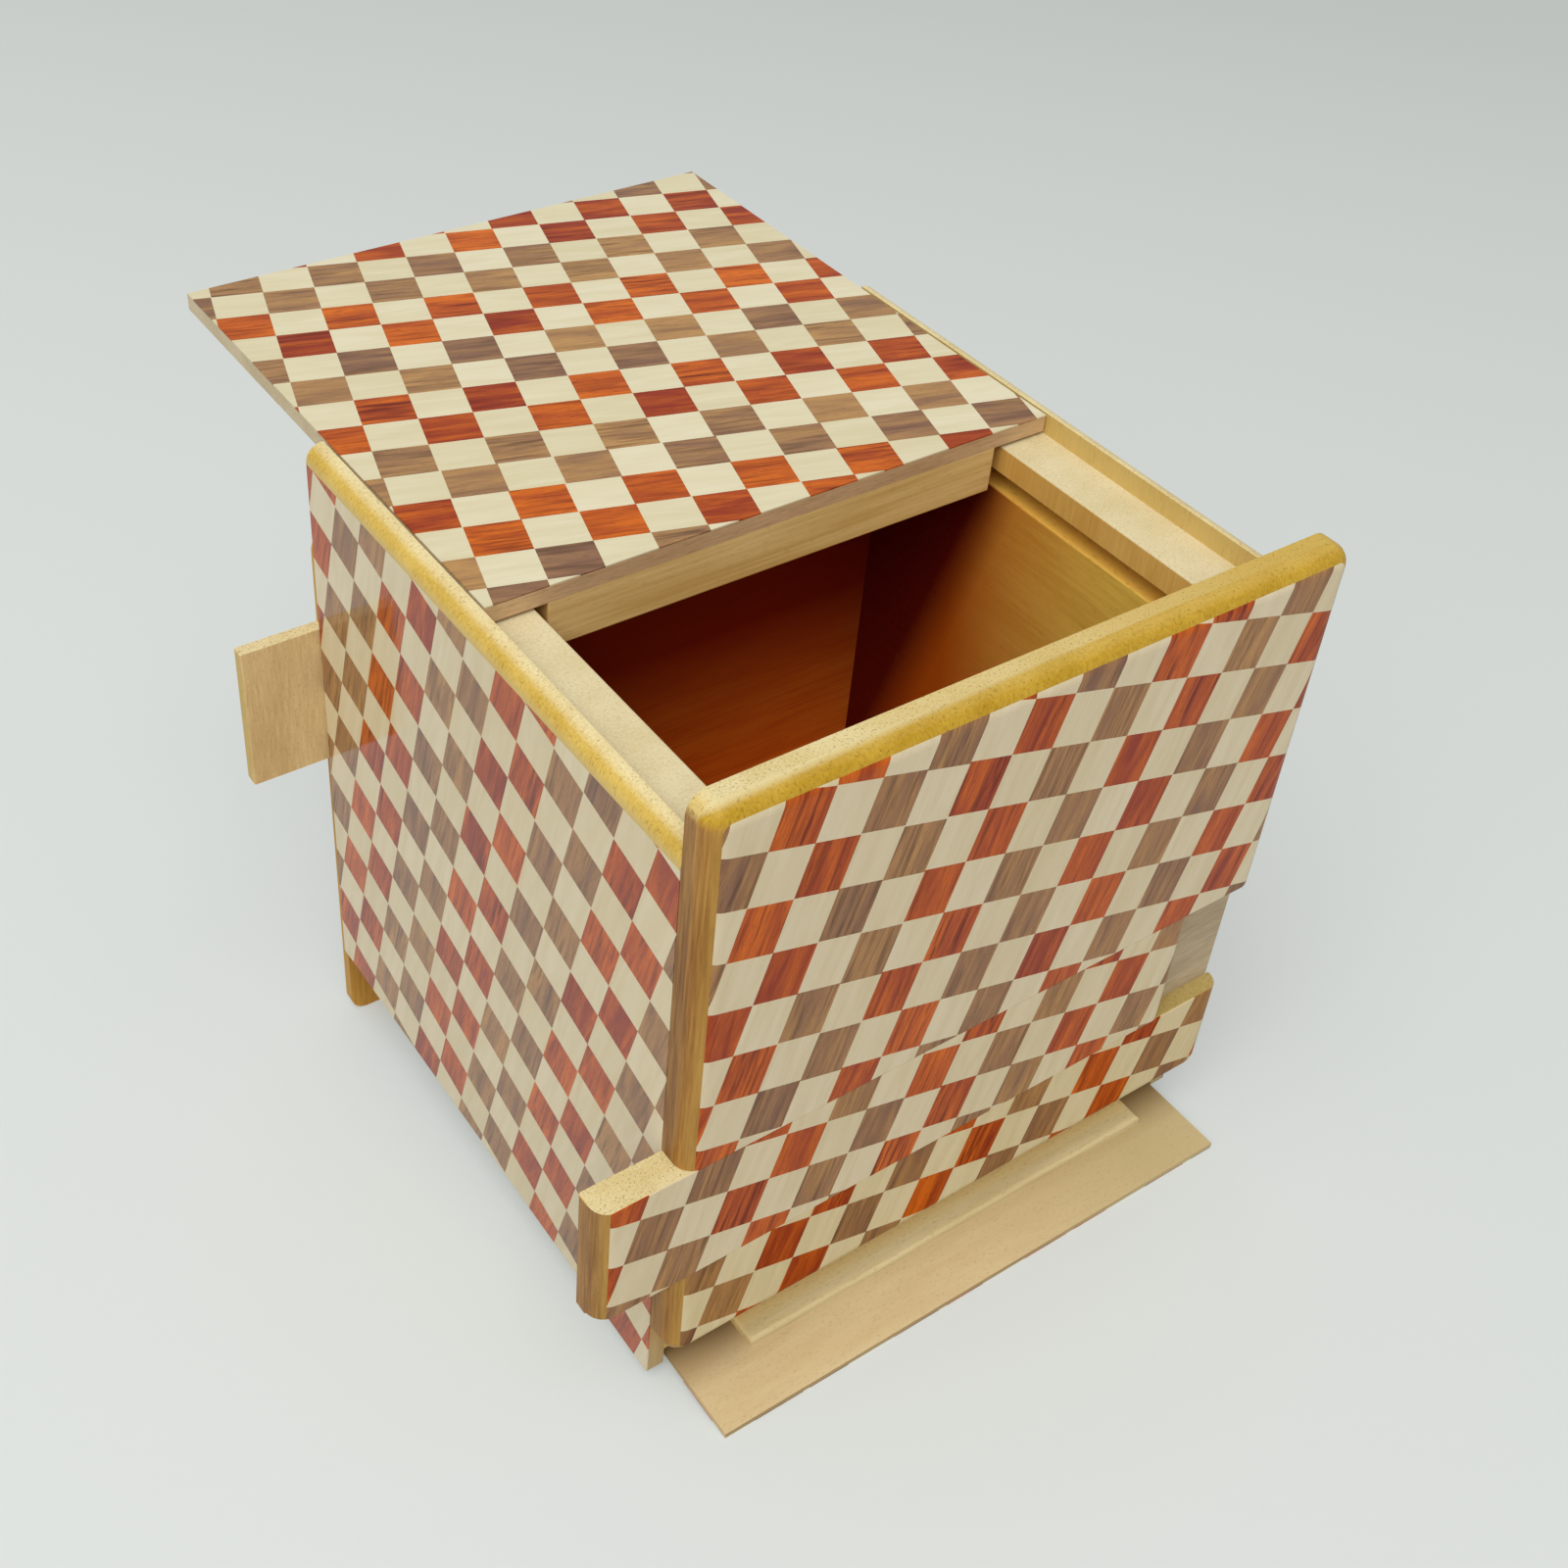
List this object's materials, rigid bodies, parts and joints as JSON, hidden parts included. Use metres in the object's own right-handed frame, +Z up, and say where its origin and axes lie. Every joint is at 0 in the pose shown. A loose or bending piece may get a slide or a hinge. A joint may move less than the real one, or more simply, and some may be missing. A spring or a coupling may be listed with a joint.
{
  "type": "wooden puzzle box",
  "caption": "Trick-opening wooden box with check marquetry, shown part way open: sliding end panels with keys, a sliding bottom panel and a lid that slides back over a cavity",
  "frame": {"origin": "on the bottom face, under the middle of the side panels", "axes": "+X to the right along the front panel, +Y to the back, +Z up; the front panel faces -Y"},
  "size_m": [0.1361, 0.1884, 0.1503],
  "materials": {
    "check_marquetry": "check veneer of pale, brown and red woods, satin",
    "yellow_board": "yellow-brown board, satin lacquer",
    "pale_board": "pale planed board, matt",
    "lid_board": "tan planed board, matt",
    "backing_board": "tan planed board, matt",
    "cavity_board": "golden brown board, matt",
    "guide_strip": "plain strip of hardwood, matt"
  },
  "bodies": {
    "box_frame": {"back_keepers": "guide_strip", "back_lock_stop": "guide_strip", "back_wall": "cavity_board", "bottom_rail_left": "pale_board", "bottom_rail_right": "pale_board", "bottom_stops": "guide_strip", "cavity_floor": "cavity_board", "front_keepers": "guide_strip", "front_lock_stop": "guide_strip", "front_wall": "cavity_board", "left_panel": "yellow_board", "left_veneer": "check_marquetry", "left_wall": "cavity_board", "lid_stops": "guide_strip", "right_panel": "yellow_board", "right_veneer": "check_marquetry", "right_wall": "cavity_board", "top_rail_left": "pale_board", "top_rail_right": "pale_board"},
    "lid": {"lid_block": "lid_board", "lid_plate": "lid_board", "lid_tongue_left": "guide_strip", "lid_tongue_right": "guide_strip", "lid_veneer": "check_marquetry"},
    "bottom_panel": {"bottom_core": "cavity_board", "bottom_lip": "pale_board", "bottom_plate": "pale_board", "bottom_tongue_left": "guide_strip", "bottom_tongue_right": "guide_strip", "bottom_veneer": "check_marquetry"},
    "front_panel": {"front_backing_bridge": "backing_board", "front_backing_lower": "backing_board", "front_backing_upper": "backing_board", "front_lower_face": "yellow_board", "front_lower_veneer": "check_marquetry", "front_runner_left": "guide_strip", "front_runner_right": "guide_strip", "front_upper_face": "yellow_board", "front_upper_veneer": "check_marquetry"},
    "front_key": {"front_key_face": "yellow_board", "front_key_keeper": "guide_strip", "front_key_tongue": "backing_board", "front_key_tooth": "guide_strip", "front_key_veneer": "check_marquetry"},
    "back_panel": {"back_backing_bridge": "backing_board", "back_backing_lower": "backing_board", "back_backing_upper": "backing_board", "back_lower_face": "yellow_board", "back_lower_veneer": "check_marquetry", "back_runner_left": "guide_strip", "back_runner_right": "guide_strip", "back_upper_face": "yellow_board", "back_upper_veneer": "check_marquetry"},
    "back_key": {"back_key_face": "yellow_board", "back_key_keeper": "guide_strip", "back_key_tongue": "backing_board", "back_key_tooth": "guide_strip", "back_key_veneer": "check_marquetry"}
  },
  "joints": [
    {"name": "lid_slide", "type": "slide", "parent": "box_frame", "child": "lid", "axis": [0, 1, 0], "range_m": [-0.0587, 0]},
    {"name": "bottom_slide", "type": "slide", "parent": "box_frame", "child": "bottom_panel", "axis": [0, 1, 0], "range_m": [0, 0.0177]},
    {"name": "front_lift", "type": "slide", "parent": "box_frame", "child": "front_panel", "axis": [0, 0, 1], "range_m": [-0.0075, 0]},
    {"name": "front_key_slide", "type": "slide", "parent": "front_panel", "child": "front_key", "axis": [1, 0, 0], "range_m": [0, 0.0147]},
    {"name": "back_drop", "type": "slide", "parent": "box_frame", "child": "back_panel", "axis": [0, 0, 1], "range_m": [0, 0.007]},
    {"name": "back_key_slide", "type": "slide", "parent": "back_panel", "child": "back_key", "axis": [1, 0, 0], "range_m": [0, 0.0159]}
  ]
}
